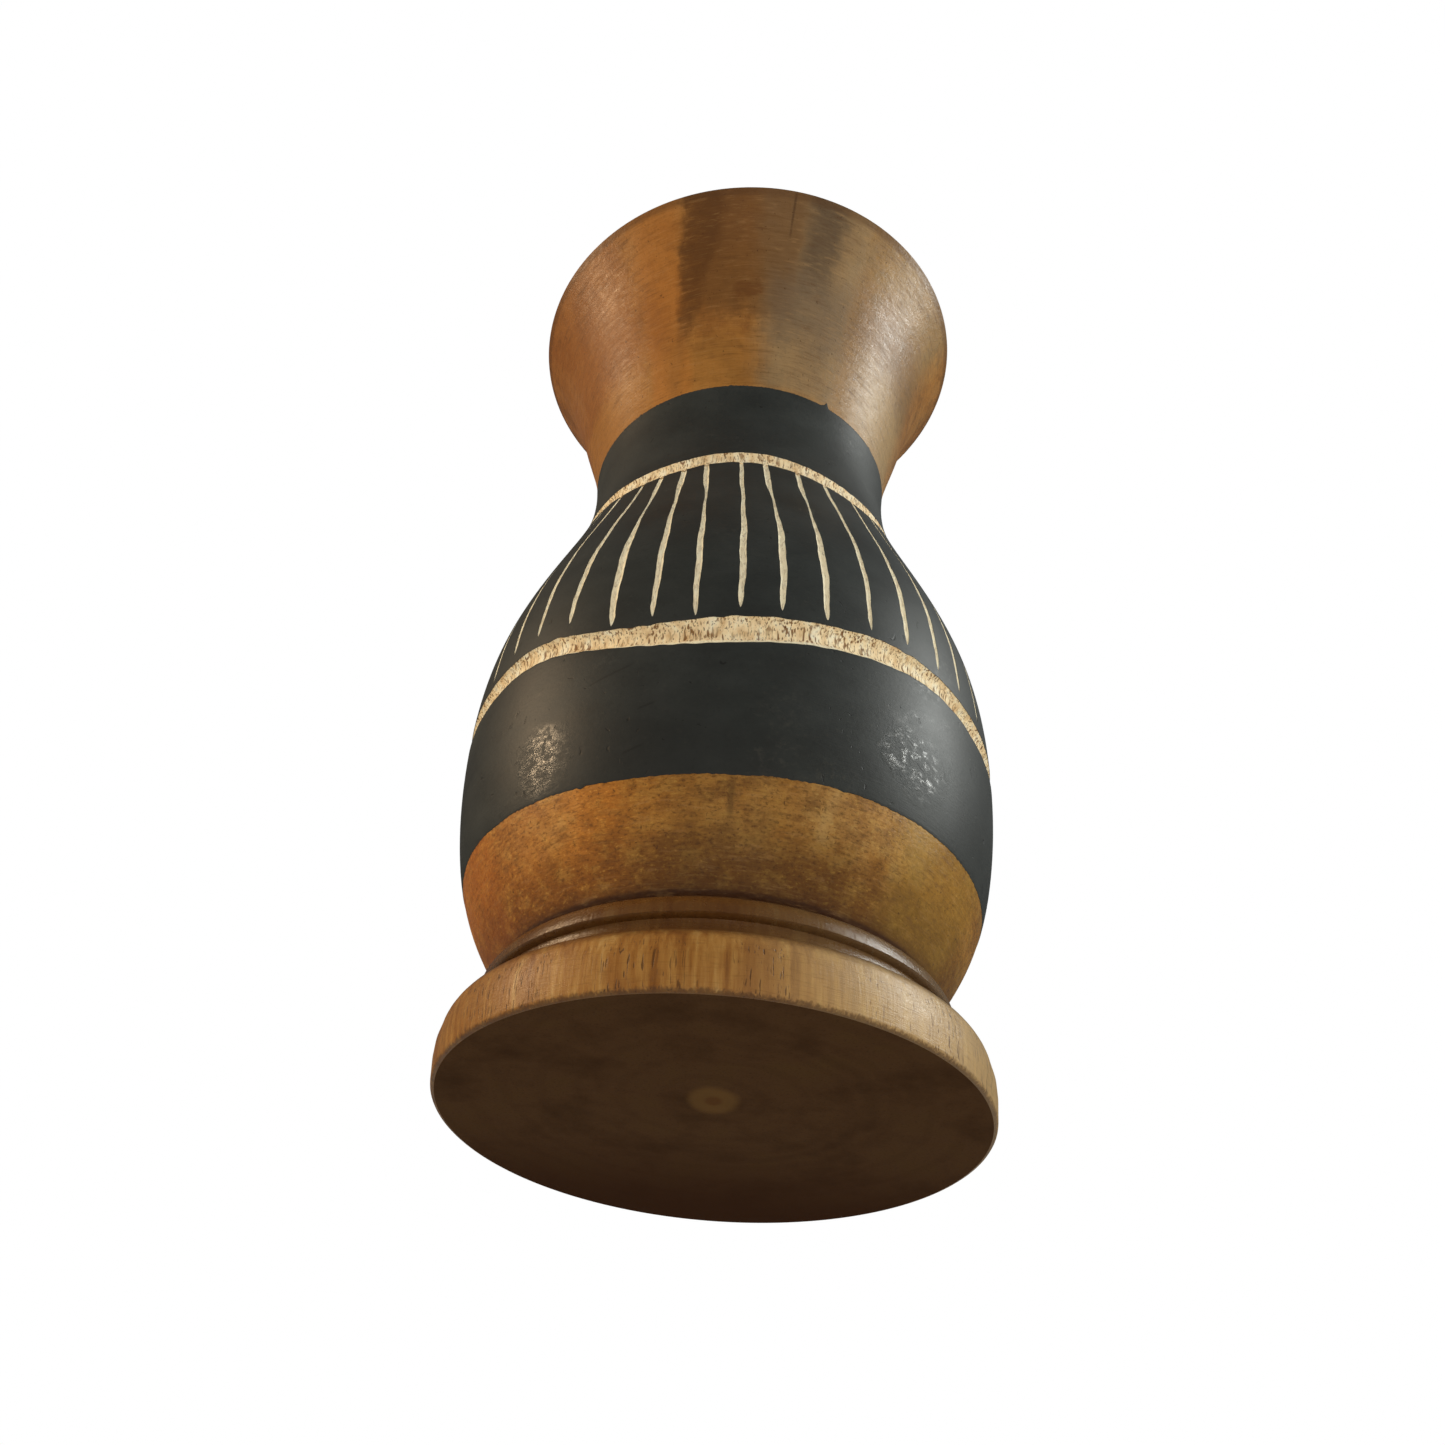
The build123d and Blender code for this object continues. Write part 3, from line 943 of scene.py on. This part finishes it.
def funnel(height, edge):
    """Radius of the funnel at a height: two cubic spans that share a slope at its middle."""
    bottom, middle, (radius, top) = neck_bore_height, funnel_height, edge
    middle_slope, edge_slope = 0.75 * (radius - funnel_radius) / (top - middle), 1 / 1.15
    if height < middle:
        t, run = (height - bottom) / (middle - bottom), middle - bottom
        return hermite(t, run, neck_bore_radius, funnel_radius, 0, middle_slope)
    t, run = (height - middle) / (top - middle), top - middle
    return hermite(t, run, funnel_radius, radius, middle_slope, edge_slope)


# ---------------------------------------- foot


def build_foot():
    skin = Skin()
    underside = [(radius, 0.0) for radius in np.linspace(3, foot_radius - 1.1, 14)]
    rim = (foot_radius - foot_edge, 0.0)
    side = arc(rim, (foot_radius, foot_edge_round), -foot_edge_round, 4)
    middle = (foot_radius + foot_bulge, foot_side_height / 2)
    side += [middle, (foot_radius + 0.8 * foot_bulge, 6.2)]
    shoulder = [(foot_radius - foot_bulge, foot_side_height)]
    shoulder += arc(shoulder[0], foot_round, -foot_round_arc, 10)
    cove = arc(foot_round, cove_top, cove_arc, 9)
    step = [(cove_top[0] + 0.5, cove_top[1] + 0.12), (bead_edge[0] - 0.2, bead_edge[1] - 0.2), bead_edge]
    bead = arc(bead_edge, (bead_top_radius, joint_height), -bead_arc, 10)
    tenon_top = joint_height + tenon_height
    top = [(tenon_radius, joint_height), (tenon_radius, tenon_top - tenon_chamfer)]
    top += [(tenon_radius - tenon_chamfer, tenon_top)]
    profile = underside + [rim] + side + shoulder + cove + step + bead + top
    ring = skin.even_ring(PLAIN_COLUMNS, *profile[0])
    skin.close(ring, 0.0, UNDERSIDE, inward=False)
    rings = (skin.even_ring(PLAIN_COLUMNS, *place) for place in profile[1:])
    ring = skin.climb(ring, itertools.islice(rings, len(underside)), UNDERSIDE)
    skin.close(skin.climb(ring, rings, SIDE), tenon_top, SIDE)
    return skin.build("turned_foot", foot_finish)


# ---------------------------------------- paint


# Burrs of the brushed edges: azimuth, and how far each reaches past the edge.
BELLY_BURRS = [(-31, -0.3), (22, -0.25), (140, -0.4)]
NECK_BURRS = [(31.7, 1.6), (30.4, 0.5), (-6, 0.25), (-44, 0.3), (58, 0.35), (-120, 0.6), (170, 0.4)]


def ragged(azimuth, seed, burrs):
    """How far a brushed paint edge strays: a fine tremble, and a few burrs at given azimuths."""
    stray = 0.045 * ripple(azimuth, 90, 300, seed) + 0.03 * ripple(azimuth, 12, 40, seed + 1)
    for place, reach in burrs:
        stray = stray + reach * dip(azimuth, place, 0.7)
    return stray


def paint_band(name, bottom, top, rows):
    """A closed coat of paint between two edges that vary round the vase."""
    skin = Skin()
    azimuth = np.arange(CARVED_COLUMNS) * TURN / CARVED_COLUMNS
    low, high = bottom(azimuth), top(azimuth)
    edge, lip = 0.5, 0.15         # the coat thins towards its edges over these
    heights = [low, low + lip]
    heights += [low + edge + (high - low - 2 * edge) * s for s in np.linspace(0, 1, rows)]
    heights += [high - lip, high]
    stands = [0.45, 0.85, *[1.0] * rows, 0.85, 0.45]
    rings = [skin.ring(azimuth, outline(h) + paint * s, h) for h, s in zip(heights, stands)]
    inner_heights = [high + (low - high) * s for s in np.linspace(0, 1, rows // 2)]
    back = [skin.ring(azimuth, outline(h) - under_paint, h) for h in inner_heights]
    skin.climb(rings[0], [*rings[1:], *back, rings[0]])
    return skin.build(name, paint_finish)


def build_fluted_paint():
    """The coat of the fluted band: a strip between each two flutes, whole below their tips."""
    skin = Skin()
    columns = 11
    for i, track in enumerate(tracks):
        after = tracks[(i + 1) % flute_count]
        turn = TURN if i == flute_count - 1 else 0
        outer, inner = [], []
        for row, share in enumerate(FLUTE_ROWS):
            left = track.middle[row] + (track.spread[row] if track.half[row] > 0 else 0)
            right = after.middle[row] + turn - (after.spread[row] if after.half[row] > 0 else 0)
            azimuth = np.linspace(left, right, columns)
            bottom, top = lower_groove(azimuth)[1], upper_groove(azimuth)[0]
            height = bottom + (top - bottom) * share
            outer.append(skin.ring(azimuth, outline(height) + paint, height)[0])
            inner.append(skin.ring(azimuth, outline(height) - under_paint, height)[0])
        outer, inner = np.array(outer), np.array(inner)
        quads = [
            (outer[:-1, :-1], outer[:-1, 1:], outer[1:, 1:], outer[1:, :-1]),
            (inner[:-1, :-1], inner[1:, :-1], inner[1:, 1:], inner[:-1, 1:]),
            (inner[0, :-1], inner[0, 1:], outer[0, 1:], outer[0, :-1]),
            (outer[-1, :-1], outer[-1, 1:], inner[-1, 1:], inner[-1, :-1]),
        ]
        left_cut, right_cut = np.flatnonzero(track.half[1:] > 0), np.flatnonzero(after.half[1:] > 0)
        a, b, c, d = inner[:-1, 0], outer[:-1, 0], outer[1:, 0], inner[1:, 0]
        quads.append((a[left_cut], b[left_cut], c[left_cut], d[left_cut]))
        a, b, c, d = inner[:-1, -1], outer[:-1, -1], outer[1:, -1], inner[1:, -1]
        quads.append((a[right_cut], d[right_cut], c[right_cut], b[right_cut]))
        for corners in quads:
            skin.faces.extend(np.stack([corner.ravel() for corner in corners], 1).tolist())
    skin.finish = [0] * len(skin.faces)
    piece = skin.build("fluted_band_paint", paint_finish)
    weld(piece, 0.002 * MM)
    return piece


def weld(piece, reach):
    shape = bmesh.new()
    shape.from_mesh(piece.data)
    bmesh.ops.remove_doubles(shape, verts=shape.verts, dist=reach)
    shape.to_mesh(piece.data)
    shape.free()


# ---------------------------------------- pieces on the frame

carved_body = build_body()
turned_foot = build_foot()
belly_paint = paint_band(
    "belly_band_paint",
    lambda azimuth: belly_bottom(azimuth) + ragged(azimuth, 61, BELLY_BURRS),
    lambda azimuth: lower_groove(azimuth)[0],
    14,
)
fluted_paint = build_fluted_paint()
neck_paint = paint_band(
    "neck_band_paint",
    lambda azimuth: upper_groove(azimuth)[1],
    lambda azimuth: neck_paint_top + ragged(azimuth, 71, NECK_BURRS),
    10,
)

for piece, node, slot in (
    (carved_body, "vase_body", "body_wood"),
    (turned_foot, "foot", "foot_wood"),
    (belly_paint, "belly_paint", "black_paint"),
    (fluted_paint, "shoulder_paint", "black_paint"),
    (neck_paint, "neck_paint", "black_paint"),
):
    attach(piece, "root")
    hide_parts(node)

# ---------------------------------------- floor, backdrop, light and camera

height = cad_high.z - cad_low.z
floor_height = -160.0             # millimetres; the camera looks up at the foot, so the floor is below it
floor_size = 6000.0


def build_floor():
    skin = Skin()
    skin.close(skin.even_ring(96, floor_size / 2, floor_height), floor_height)
    paper = Finish("floor_paper", Base_Color=(0.8, 0.8, 0.79, 1), Roughness=0.9)
    return skin.build("floor", [paper.material])


def build_backdrop():
    """A white dome that the camera sees and the light ignores."""
    skin = Skin()
    radius = floor_size / 2
    ring = skin.even_ring(96, radius, floor_height - 1)
    for tilt in np.radians(np.linspace(4, 84, 14)):
        after = skin.even_ring(96, radius * math.cos(tilt), radius * math.sin(tilt) + floor_height)
        ring = skin.climb(ring, [after])
    skin.close(ring, radius + floor_height)
    black, white = (0, 0, 0, 1), (1, 1, 1, 1)
    glow = Finish(
        "backdrop_glow", Base_Color=black, Specular_IOR_Level=0, Emission_Color=white, Emission_Strength=1
    )
    dome = skin.build("backdrop", [glow.material])
    for kind in ("diffuse", "glossy", "transmission", "volume_scatter", "shadow"):
        setattr(dome, "visible_" + kind, False)
    return dome


build_floor()
build_backdrop()


def lamp(light, azimuth, elevation, distance, power, colour, mirrored):
    """Hangs a light that faces the vase's middle and shows only in its gloss, or only out of it."""
    a, e = math.radians(azimuth), math.radians(elevation)
    toward = Vector((math.sin(a) * math.cos(e), -math.cos(a) * math.cos(e), math.sin(e)))
    light.energy, light.color = power, colour
    hung = bpy.data.objects.new(light.name, light)
    hung.visible_glossy, hung.visible_diffuse = mirrored, not mirrored
    hung.location = Vector((0, 0, height / 2)) + toward * distance
    hung.rotation_euler = toward.to_track_quat("Z", "Y").to_euler()
    bpy.context.scene.collection.objects.link(hung)


def softbox(name, width, tall, spread=180):
    light = bpy.data.lights.new(name, "AREA")
    light.shape, light.size, light.size_y = "RECTANGLE", width, tall
    light.spread = math.radians(spread)
    return light


def broad_light(name, spread):
    """Light from far away, as wide as spread degrees of sky, so that it falls evenly on the floor."""
    light = bpy.data.lights.new(name, "SUN")
    light.angle = math.radians(spread)
    return light


lamp(softbox("warm_window", 0.11, 0.22), -80, 22, 0.9, 3.2, (1.0, 0.72, 0.44), mirrored=True)
lamp(softbox("cool_window", 0.12, 0.38), 85, 28, 0.9, 4.8, (0.97, 1.0, 0.96), mirrored=True)
lamp(broad_light("warm_fill", 24), -92, 25, 2.0, 2.07, (1.0, 0.78, 0.52), mirrored=False)
lamp(broad_light("cool_fill", 24), 86, 20, 2.0, 1.67, (0.95, 1.0, 0.98), mirrored=False)
lamp(softbox("front_fill", 0.7, 0.7, 90), 4, -6, 1.2, 2.15, (1.0, 0.95, 0.88), mirrored=False)

world = bpy.data.worlds.new("studio")
world.use_nodes = True
sky = world.node_tree.nodes["Background"].inputs
sky["Color"].default_value, sky["Strength"].default_value = (0.95, 1.0, 0.98, 1), 0.1
bpy.context.scene.world = world
bpy.context.scene.view_settings.view_transform = "Standard"

camera_azimuth = -1.6             # degrees round the vase from the front
camera_away, camera_below = 0.2159, 0.0894
camera_turn, camera_pitch, camera_roll = 7.67, 38.56, 7.62
image_side = 1445
focal_pixels = 1347
side_shift = 0.095

view = bpy.data.cameras.new("camera")
view.sensor_width = 36
view.lens = view.sensor_width * focal_pixels / image_side
view.shift_x = side_shift
camera = bpy.data.objects.new("camera", view)
round_vase = Matrix.Rotation(math.radians(camera_azimuth), 4, "Z")
place = Matrix.Translation((0, -camera_away, -camera_below))
turn = Matrix.Rotation(math.radians(camera_turn), 4, "Z")
look_up = Matrix.Rotation(math.radians(90 + camera_pitch), 4, "X")
roll = Matrix.Rotation(math.radians(camera_roll), 4, "Z")
camera.matrix_world = round_vase @ place @ turn @ look_up @ roll
bpy.context.scene.collection.objects.link(camera)
bpy.context.scene.camera = camera
